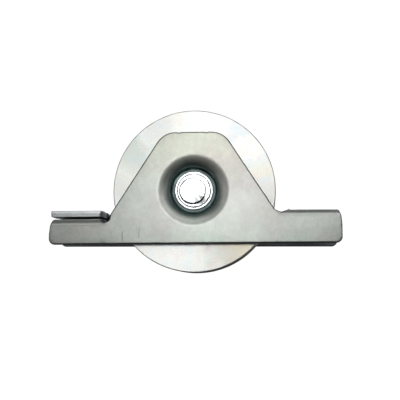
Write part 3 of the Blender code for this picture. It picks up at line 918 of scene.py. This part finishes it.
def dimple_profile():
    """(radius, y) from the lip on the outer side, round the hole, to the lip inside."""
    turn, angle = DIMPLE_LIP_TURN, DIMPLE_WALL_ANGLE
    radii = (DIMPLE_LIP_RADIUS, DIMPLE_SHOULDER_RADIUS, DIMPLE_FLOOR_FILLET)
    turns = (1 - cos(turn), cos(turn) - cos(angle), 1 - cos(angle))
    wall_depth = DIMPLE_DEPTH - sum(radius * depth for radius, depth in zip(radii, turns))
    lip = (
        DIMPLE_FLOOR_RADIUS
        + DIMPLE_FLOOR_FILLET * sin(angle)
        + wall_depth / tan(angle)
        + DIMPLE_SHOULDER_RADIUS * (sin(angle) - sin(turn))
        + DIMPLE_LIP_RADIUS * sin(turn)
    )
    lip_centre = Vector((lip, DIMPLE_LIP_RADIUS))
    between = DIMPLE_LIP_RADIUS - DIMPLE_SHOULDER_RADIUS
    shoulder_centre = lip_centre - Vector((sin(turn), cos(turn))) * between
    floor_centre = Vector((DIMPLE_FLOOR_RADIUS, DIMPLE_DEPTH - DIMPLE_FLOOR_FILLET))

    def swept(centre, reach, first, last, steps):
        slopes = [first + (last - first) * i / steps for i in range(steps + 1)]
        return [centre + Vector((sin(slope), cos(slope))) * reach for slope in slopes]

    def side(offset):
        return (
            swept(lip_centre, offset - DIMPLE_LIP_RADIUS, 0.0, turn, 14)
            + swept(shoulder_centre, offset - DIMPLE_SHOULDER_RADIUS, turn, angle, 10)[1:]
            + swept(floor_centre, DIMPLE_FLOOR_FILLET + offset, angle, 0.0, 8)
        )

    hole = [
        (AXLE_HOLE_RADIUS + BACK_BREAK, DIMPLE_DEPTH),
        (AXLE_HOLE_RADIUS, DIMPLE_DEPTH + BACK_BREAK),
        (AXLE_HOLE_RADIUS, DIMPLE_DEPTH + SHEET - BACK_BREAK),
        (AXLE_HOLE_RADIUS + BACK_BREAK, DIMPLE_DEPTH + SHEET),
    ]
    profile = side(0.0) + hole + list(reversed(side(SHEET)))
    return lip, [(radius, FRONT_FACE + depth) for radius, depth in profile]


def cut_wings(bm):
    """Adds the lines that the folds need, in the flat blank: x, z and depth as x, y, z."""

    def cut(faces, place, way):
        parts = {item for face in faces for item in (*face.verts, *face.edges)}
        bmesh.ops.bisect_plane(bm, geom=[*parts, *faces], dist=1e-7, plane_co=place, plane_no=way)

    for wing in (HIGH, LOW):
        start, end = wing.fold
        for i in range(FOLD_SLICES + 1):
            x = wing.way * (start + (end - start) * i / FOLD_SLICES)
            cut(bm.faces[:], (x, 0, 0), (1, 0, 0))
        bend_start = wing.top - BEND_RADIUS
        leans = [bend_start - LEAN_LENGTH * (1 - i / LEAN_SLICES) for i in range(LEAN_SLICES)]
        bends = [bend_start + BEND_LENGTH * i / BEND_SLICES for i in range(BEND_SLICES + 1)]
        for z in leans + bends:
            beyond = [f for f in bm.faces if wing.way * f.calc_center_median().x > start - 1e-6]
            cut(beyond, (0, z, 0), (0, 1, 0))


def add_edge(bm):
    """Lays the edge loops round the flat blank, joins them and gives the first and last."""
    outline = blank_outline()
    places = list(zip(outline, inward(outline), [roll_at(point) for point in outline]))
    rows = []
    for roll_depth, depth, share, inset in edge_levels():
        row = []
        for point, way, roll in places:
            place = point + way * (share * roll + inset)
            drop = depth + roll_depth * (0.0004 + 0.4 * roll)
            row.append(bm.verts.new((place.x, place.y, drop)))
        rows.append(row)
    kinds = [edge_kind(point) for point in outline]
    for index, (first, second) in enumerate(zip(rows, rows[1:])):
        for face, kind in zip(bridge(bm, first, second), kinds):
            # The roll's outer band keeps the face's zinc; the rest of the roll and the torn edge get their
            # kind's painted shade or highlight.
            if index >= 1 or kind == RELIEF_EDGE_SHADE:
                face.material_index = kind
    return rows[0], rows[-1]


def add_cap(bm, row, opening_radius, depth, kind):
    """Fills the flat face between an edge loop and the dimple's opening."""
    angles = [2 * pi * i / ROUND_STEPS for i in range(ROUND_STEPS)]
    ring = [bm.verts.new((opening_radius * cos(a), opening_radius * sin(a), depth)) for a in angles]
    for i, vert in enumerate(ring):
        bm.edges.new((ring[i - 1], vert))
    edges = row_edges(row) + row_edges(ring)
    for item in bmesh.ops.triangle_fill(bm, use_beauty=True, edges=edges)["geom"]:
        if isinstance(item, bmesh.types.BMFace):
            item.material_index = kind


def bracket_half():
    """One stamping as a solid: a rolled and torn edge round two caps, then the folds."""
    lip, profile = dimple_profile()
    bm = bmesh.new()
    front, back = add_edge(bm)
    add_cap(bm, front, lip, 0.0, OUTER_FACE)
    add_cap(bm, back, lip, SHEET, INNER_FACE_SHADE)
    cut_wings(bm)
    for vert in bm.verts:
        vert.co = pressed(*vert.co)
    dimple = lathe(profile)
    mesh = bpy.data.meshes.new("dimple")
    dimple.to_mesh(mesh)
    dimple.free()
    bm.from_mesh(mesh)
    bpy.data.meshes.remove(mesh)
    bmesh.ops.remove_doubles(bm, verts=bm.verts, dist=SAME_PLACE)
    bmesh.ops.dissolve_degenerate(bm, dist=SAME_PLACE, edges=bm.edges)
    bmesh.ops.holes_fill(bm, edges=bm.edges, sides=8)
    bmesh.ops.recalc_face_normals(bm, faces=bm.faces)
    return bm


def make_bracket():
    # Beside the zinc sheet: painted shade on the cut edge, a painted highlight on the free edge, deep
    # painted shade in the relief, and painted shade on the inner face.
    materials = [
        zinc_sheet_material(),
        cut_edge_material("zinc_cut_edge_painted_shade", (0.11, 0.12, 0.13), (0.27, 0.28, 0.30)),
        cut_edge_material("zinc_free_edge_painted_highlight", (0.76, 0.80, 0.80), (0.96, 0.98, 0.98)),
        cut_edge_material("zinc_relief_edge_painted_shade", (0.020, 0.022, 0.032), (0.060, 0.064, 0.085)),
        cut_edge_material("zinc_inner_face_painted_shade", (0.26, 0.265, 0.275), (0.42, 0.425, 0.435)),
    ]
    for end, side in ENDS:
        half = bracket_half()
        turned = Matrix.Rotation(pi if side > 0 else 0.0, 4, "Z")
        bmesh.ops.transform(half, matrix=turned, verts=half.verts)
        name = f"bracket_{end}_sheet"
        finish_piece(name, half, materials, "bracket", f"bracket_{end}_half")


# ---- axle and wheel


def head_profile():
    """Half of the axle from the middle of its head down to its shoulder."""
    ring = HEAD_TOP - BOSS_STEP
    brim = ring - BRIM_STEP
    return soft_profile(
        [
            (0.0, HEAD_TOP, 0.0),
            (BOSS_RADIUS - 0.00040, HEAD_TOP, 0.0),
            (BOSS_RADIUS - 0.00010, HEAD_TOP, 0.00015),
            (BOSS_RADIUS + 0.00045, ring, 0.00006),
            (BOSS_RADIUS + 0.00060, ring, 0.0),
            (HEAD_GROOVE - 0.00040, ring, 0.0),
            (HEAD_GROOVE - 0.00019, ring, 0.00010),
            (HEAD_GROOVE + 0.00019, brim, 0.00006),
            (HEAD_GROOVE + 0.00031, brim, 0.0),
            (HEAD_GROOVE + 0.00085, brim, 0.0),
            (HEAD_RADIUS - 0.00014, brim, 0.00006),
            (HEAD_RADIUS, brim - 0.00020, 0.00008),
            (HEAD_RADIUS - 0.0001, HEAD_UNDER, 0.00015),
            (JOURNAL_RADIUS, HEAD_UNDER, 0.0003),
            (JOURNAL_RADIUS, BEARING_HALF_WIDTH, 0.0002),
            (AXLE_RADIUS, BEARING_HALF_WIDTH, 0.0003),
            (AXLE_RADIUS, 0.0, 0.0),
        ]
    )


def formed(place):
    """Shifts, tilts and dents the middle of a head, as a worn punch leaves it."""
    if abs(place.y) < HEAD_UNDER:
        return place
    side = -1 if place.y < 0 else 1
    radius = sqrt(place.x**2 + place.z**2)
    angle = atan2(place.z, place.x)
    hold = fade(radius, 0.0078, 0.0065)
    result = place + (BOSS_SHIFT if side < 0 else REAR_BOSS_SHIFT) * hold
    if radius > 1e-6:
        lumps = 0.00010 * sin(2 * angle + 0.6) + 0.00006 * sin(5 * angle + side)
        near_boss = hold * fade(radius, 0.0, BOSS_RADIUS)
        result += Vector((place.x, 0.0, place.z)) / radius * lumps * near_boss
    from_dent = abs((angle - DENT_ANGLE + pi) % (2 * pi) - pi)
    dent = DENT_DEPTH * hold * fade(from_dent, 0.5, 0.0) * fade(radius, 0.0040, 0.0060)
    sunk = BOSS_STEP * (0.5 + 0.5 * sin(angle) * min(radius / BOSS_RADIUS, 1.0))
    sunk *= fade(radius, BOSS_RADIUS + 0.0001, BOSS_RADIUS - 0.0001)
    result.y -= side * (dent + 0.8 * sunk)
    return result


def make_axle():
    bm = lathe(mirrored(head_profile()[:-1]))
    for vert in bm.verts:
        vert.co = formed(vert.co)
    finish_piece("axle_rivet_formed", bm, [rivet_material()], "bracket", "axle_rivet")


def make_wheel():
    half = WHEEL_HALF_WIDTH
    root = WHEEL_RADIUS - GROOVE_DEPTH
    bore = BEARING_RADIUS + CLEARANCE
    seat = BEARING_HALF_WIDTH + CLEARANCE
    snap_end = SNAP_HIGH.y + CLEARANCE
    rim = [
        (WHEEL_RADIUS - WHEEL_CHAMFER, half, 0.0002),
        (WHEEL_RADIUS, half - WHEEL_CHAMFER, 0.0002),
        (WHEEL_RADIUS, GROOVE_HALF_WIDTH, 0.0005),
        (root, GROOVE_ROOT_HALF_WIDTH, 0.0006),
    ]
    bore_side = [
        (SHOULDER_RADIUS + WHEEL_CHAMFER, -half, 0.0001),
        (SHOULDER_RADIUS, -half + WHEEL_CHAMFER, 0.0001),
        (SHOULDER_RADIUS, -seat, 0.0),
        (bore, -seat, 0.0002),
        (bore, seat, 0.0),
        (bore + SNAP_GROOVE_DEPTH, seat, 0.0),
        (bore + SNAP_GROOVE_DEPTH, snap_end, 0.0),
        (bore, snap_end, 0.0),
        (bore, half - WHEEL_CHAMFER, 0.0001),
        (bore + WHEEL_CHAMFER, half, 0.0001),
    ]
    profile = rim + [(radius, -y, fillet) for radius, y, fillet in reversed(rim)] + bore_side
    bm = lathe(soft_profile(profile, closed=True), steps=WHEEL_STEPS, closed=True)
    finish_piece("wheel_turned", bm, [turned_zinc_material()], "wheel", "wheel")


# ---- bearing


def raceway(way, edge_radius):
    """Half of a ball groove's profile, from the ring's shoulder to the groove's bottom."""
    groove = BALL_RADIUS + CLEARANCE
    start = asin(abs(edge_radius - PITCH_RADIUS) / groove)
    angles = [start + (pi / 2 - start) * i / RACEWAY_STEPS for i in range(RACEWAY_STEPS + 1)]
    return [(PITCH_RADIUS + way * groove * sin(a), groove * cos(a)) for a in angles]


def ring_profile(race, back_radius):
    """The closed profile of a ring, from half of its ball side and its back's radius."""
    face = BEARING_HALF_WIDTH
    corners = [(race[0][0], face, 0.0), (back_radius, face, RING_FILLET), (back_radius, 0.0, 0.0)]
    back = soft_profile(corners)[1:-1]
    return race + other_end(race[-2::-1]) + other_end(back) + back[::-1]


def make_rings():
    steel = ring_steel_material()
    seat = BEARING_HALF_WIDTH - SEAL_SEAT_DEPTH
    outer = [(SEAL_SEAT_RADIUS, BEARING_HALF_WIDTH), (SEAL_SEAT_RADIUS, seat), (OUTER_RING_SHOULDER, seat)]
    outer += raceway(1, OUTER_RING_SHOULDER)
    bm = lathe(ring_profile(outer, BEARING_RADIUS), closed=True)
    finish_piece("bearing_outer_race", bm, [steel], "wheel", "bearing_outer_ring")
    inner = [(INNER_RING_RADIUS, BEARING_HALF_WIDTH)] + raceway(-1, INNER_RING_RADIUS)
    bm = lathe(ring_profile(inner, INNER_RING_BORE), closed=True)
    finish_piece("bearing_inner_race", bm, [steel], "bracket", "bearing_inner_ring")


def make_seals():
    """Moulded rings with a bead at the rim, a shallow channel and a thin lip."""
    material = seal_rubber_material()
    outer = SEAL_TOP
    inner = outer - SEAL_THICKNESS
    edge = SEAL_SEAT_RADIUS - CLEARANCE
    lip = INNER_RING_RADIUS + CLEARANCE
    profile = soft_profile(
        [
            (edge, outer - 0.0001, 0.0001),
            (edge, inner, 0.0001),
            (lip, inner, 0.0001),
            (lip, outer - 0.0003, 0.0001),
            (lip + 0.0008, outer - 0.0001, 0.0002),
            (lip + 0.0012, outer - 0.0003, 0.0001),
            (edge - 0.0012, outer - 0.0003, 0.0001),
            (edge - 0.0008, outer, 0.0001),
        ],
        closed=True,
    )
    for end, side in ENDS:
        bm = lathe([(radius, side * y) for radius, y in profile], closed=True)
        finish_piece(f"seal_{end}", bm, [material], "wheel", f"bearing_seal_{end}")


def make_balls():
    """Bearing balls, each a cube whose faces are cut fine and pushed out to one radius."""
    material = ball_steel_material()
    for index in range(BALL_COUNT):
        bm = bmesh.new()
        bmesh.ops.create_cube(bm, size=1.0)
        bmesh.ops.subdivide_edges(bm, edges=bm.edges, cuts=11, use_grid_fill=True)
        for vert in bm.verts:
            vert.co = on_pitch_circle(index) + vert.co.normalized() * BALL_RADIUS
        name = f"ball_{index + 1}"
        finish_piece(f"{name}_polished", bm, [material], name, name)


def cage_height(angle):
    """Height of the cage's inner face over the balls' plane: flat, rising over each ball."""
    spacing = 2 * pi / BALL_COUNT
    offset = abs((angle + spacing / 2) % spacing - spacing / 2) * PITCH_RADIUS
    pocket = BALL_RADIUS + CLEARANCE
    arc_end = pocket * sin(CAGE_WALL_ANGLE)
    if offset < arc_end:
        return sqrt(pocket**2 - offset**2)
    wall = pocket * cos(CAGE_WALL_ANGLE) - (offset - arc_end) * tan(CAGE_WALL_ANGLE)
    return max(CLEARANCE / 2, wall)


def cage_slope(angle):
    step = 1e-3
    rise = cage_height(angle + step) - cage_height(angle - step)
    return atan2(rise, 2 * step * PITCH_RADIUS)


def cage_ribbon(side):
    """A strip with soft corners that waves round over the balls."""
    width, soft, thick = CAGE_HALF_WIDTH, CAGE_CORNER, CAGE_THICKNESS
    outer = [(width - soft, 0.0), (width, soft), (width, thick - soft), (width - soft, thick)]
    section = outer + [(-across, out) for across, out in reversed(outer)]
    bm = bmesh.new()
    rows = []
    for across, out in section:
        radius = PITCH_RADIUS + across
        row = []
        for i in range(CAGE_STEPS):
            angle = 2 * pi * i / CAGE_STEPS
            slope = cage_slope(angle)
            along = angle - out * sin(slope) / PITCH_RADIUS
            y = side * (cage_height(angle) + out * cos(slope))
            row.append(bm.verts.new((radius * cos(along), y, radius * sin(along))))
        rows.append(row)
    join_rows(bm, rows + rows[:1])
    bmesh.ops.recalc_face_normals(bm, faces=bm.faces)
    return bm


def make_cage():
    """Two waved ribbons and the rivets that join them between the balls."""
    material = cage_steel_material()
    for end, side in ENDS:
        bm = cage_ribbon(side)
        finish_piece(f"cage_{end}_ribbon", bm, [material], "cage", f"cage_{end}_half")
    under = CLEARANCE / 2 + CAGE_THICKNESS + CLEARANCE
    top = under + CAGE_RIVET_HEIGHT
    head = soft_profile(
        [
            (0.0, top, 0.0),
            (0.0007, top - 0.00005, 0.0002),
            (CAGE_RIVET_HEAD, under + 0.0001, 0.0001),
            (CAGE_RIVET_HEAD, under, 0.0),
            (CAGE_RIVET_RADIUS, under, 0.0),
            (CAGE_RIVET_RADIUS, 0.0, 0.0),
        ]
    )
    for index in range(BALL_COUNT):
        bm = lathe(mirrored(head[:-1]), steps=24)
        bmesh.ops.translate(bm, vec=on_pitch_circle(index + 0.5), verts=bm.verts)
        node = f"cage_rivet_{index + 1}"
        finish_piece(f"{node}_formed", bm, [material], "cage", node)


def snap_loops():
    """The open ring's outline with its lugs, and the lugs' eyes, each with its way in."""
    outer = SNAP_HIGH.z
    start = -pi / 2 + SNAP_OPENING
    end = 3 * pi / 2 - SNAP_OPENING
    lug_start = start + SNAP_LUG_ANGLE
    lug_end = end - SNAP_LUG_ANGLE
    outline = []
    for radius, first, last in (
        (outer, start, end),
        (SNAP_LUG_RADIUS, end, lug_end),
        (outer - SNAP_BAND, lug_end, lug_start),
        (SNAP_LUG_RADIUS, lug_start, start),
    ):
        outline += arc_points((0, 0), radius, first, last, SNAP_STEP)
    loops = [(outline, 1)]
    for middle in ((start + lug_start) / 2, (end + lug_end) / 2):
        centre = Vector((cos(middle), sin(middle))) * (outer + SNAP_LUG_RADIUS) / 2
        loops.append((arc_points(centre, SNAP_EYE_RADIUS, 0.0, 2 * pi, SNAP_STEP / 2)[:-1], -1))
    return loops


def make_snap_ring():
    """A flat open ring with eyed lugs; its edges are broken by a small chamfer."""
    low, high, chamfer = SNAP_LOW.y, SNAP_HIGH.y, SNAP_CHAMFER
    bm = bmesh.new()
    caps = ([], [])
    for points, way_in in snap_loops():
        rows = []
        for y, inset in ((low, chamfer), (low + chamfer, 0.0), (high - chamfer, 0.0), (high, chamfer)):
            moved = [p + way * inset * way_in for p, way in zip(points, inward(points))]
            rows.append([bm.verts.new((p.x, y, p.y)) for p in moved])
        join_rows(bm, rows)
        for cap, row in zip(caps, (rows[0], rows[-1])):
            cap.extend(row_edges(row))
    for edges in caps:
        bmesh.ops.triangle_fill(bm, use_beauty=True, edges=edges)
    bmesh.ops.recalc_face_normals(bm, faces=bm.faces)
    finish_piece("snap_ring_sprung", bm, [spring_steel_material()], "wheel", "snap_ring")


# ---- studio

# Each soft light's name, azimuth, elevation, distance, width, height and power.
SOFTBOXES = [
    ("key_front", -3.0, 7.4, 1.2, 0.12, 0.30, 1.06),
    ("upper_front", 0, 42, 1.3, 1.0, 0.6, 1.7),
    ("side_left", -36, 12, 1.5, 0.6, 0.5, 0.55),
    ("side_right", 23, 20, 1.5, 0.6, 0.5, 1.10),
    ("fill_left", -54, -4, 1.7, 0.8, 0.9, 0.7),
    ("fill_right", 54, 4, 1.7, 0.8, 0.9, 0.8),
    ("upper_back", 180, 36, 1.3, 1.0, 0.6, 5.5),
    ("back_left", 218, 14, 1.5, 0.6, 0.6, 4.2),
    ("back_right", 142, 14, 1.5, 0.6, 0.6, 4.2),
]

# How light the room is, from straight below to straight above.
ROOM_LEVELS = [(0.0, 0.02), (0.13, 0.06), (0.31, 0.15), (0.50, 0.11), (0.85, 0.17), (1.0, 0.19)]
WHITE = (1.0, 1.0, 1.0, 1.0)


def toward(azimuth, elevation):
    """Unit vector from the object to a place at that azimuth and elevation, in degrees."""
    a, e = radians(azimuth), radians(elevation)
    return Vector((sin(a) * cos(e), -cos(a) * cos(e), sin(e)))


def make_lights():
    for name, azimuth, elevation, distance, width, height, power in SOFTBOXES:
        light = bpy.data.lights.new(name, "AREA")
        light.shape = "RECTANGLE"
        light.size = width
        light.size_y = height
        light.energy = power
        lamp = added(name, light)
        way = toward(azimuth, elevation)
        lamp.location = way * distance
        lamp.rotation_euler = way.to_track_quat("Z", "Y").to_euler()
        lamp.visible_camera = False


def make_world():
    """White to the camera; to the object, a dim room that is lighter overhead."""
    world = bpy.data.worlds.new("studio")
    bpy.context.scene.world = world
    world.use_nodes = True
    world.node_tree.nodes.clear()
    t = Tree(world.node_tree)
    way = t.add("ShaderNodeTexCoord").outputs["Generated"]
    up = t.add("ShaderNodeSeparateXYZ", {0: way}).outputs["Z"]
    height = t.add("ShaderNodeMapRange", {"Value": up, "From Min": -1.0}).outputs["Result"]
    stops = [(place, (level, level * 1.03, level * 1.04)) for place, level in ROOM_LEVELS]
    room = t.add("ShaderNodeBackground", {"Color": t.ramp(height, stops)}).outputs[0]
    seen = t.add("ShaderNodeBackground", {"Color": WHITE, "Strength": 1.05}).outputs[0]
    to_camera = t.add("ShaderNodeLightPath").outputs["Is Camera Ray"]
    pick = t.add("ShaderNodeMixShader", {0: to_camera, 1: room, 2: seen}).outputs[0]
    t.add("ShaderNodeOutputWorld", {"Surface": pick})


def make_floor():
    """A plain pale floor, seen from above only, that keeps its light off the object."""
    n = Nodes("floor", metallic=0.0)
    n.feed(n.shader, {"Emission Color": WHITE, "Emission Strength": 0.9})
    behind = n.add("ShaderNodeNewGeometry").outputs["Backfacing"]
    clear = n.add("ShaderNodeBsdfTransparent").outputs[0]
    pick = n.add("ShaderNodeMixShader", {0: behind, 1: n.shader.outputs[0], 2: clear}).outputs[0]
    n.feed(n.tree.nodes["Material Output"], {"Surface": pick})
    mesh = bpy.data.meshes.new("floor")
    bm = bmesh.new()
    bmesh.ops.create_grid(bm, x_segments=1, y_segments=1, size=4.0)
    bm.to_mesh(mesh)
    bm.free()
    mesh.materials.append(n.finish((0.8, 0.8, 0.8, 1.0), 0.9))
    floor = added("floor", mesh)
    floor.location.z = FLOOR_HEIGHT
    floor.visible_glossy = False
    floor.visible_diffuse = False


def make_camera():
    data = bpy.data.cameras.new("camera")
    data.lens = CAMERA_LENS
    data.shift_x, data.shift_y = CAMERA_SHIFT
    data.clip_start, data.clip_end = 0.01, 20.0
    camera = added("camera", data)
    back = toward(*CAMERA_ANGLES)
    camera.location = back * CAMERA_DISTANCE
    camera.rotation_euler = (-back).to_track_quat("-Z", "Y").to_euler()
    bpy.context.scene.camera = camera


make_camera()
make_world()
make_lights()
make_floor()
bpy.context.scene.view_settings.view_transform = "Standard"

make_bracket()
make_axle()
make_wheel()
make_rings()
make_seals()
make_snap_ring()
make_balls()
make_cage()
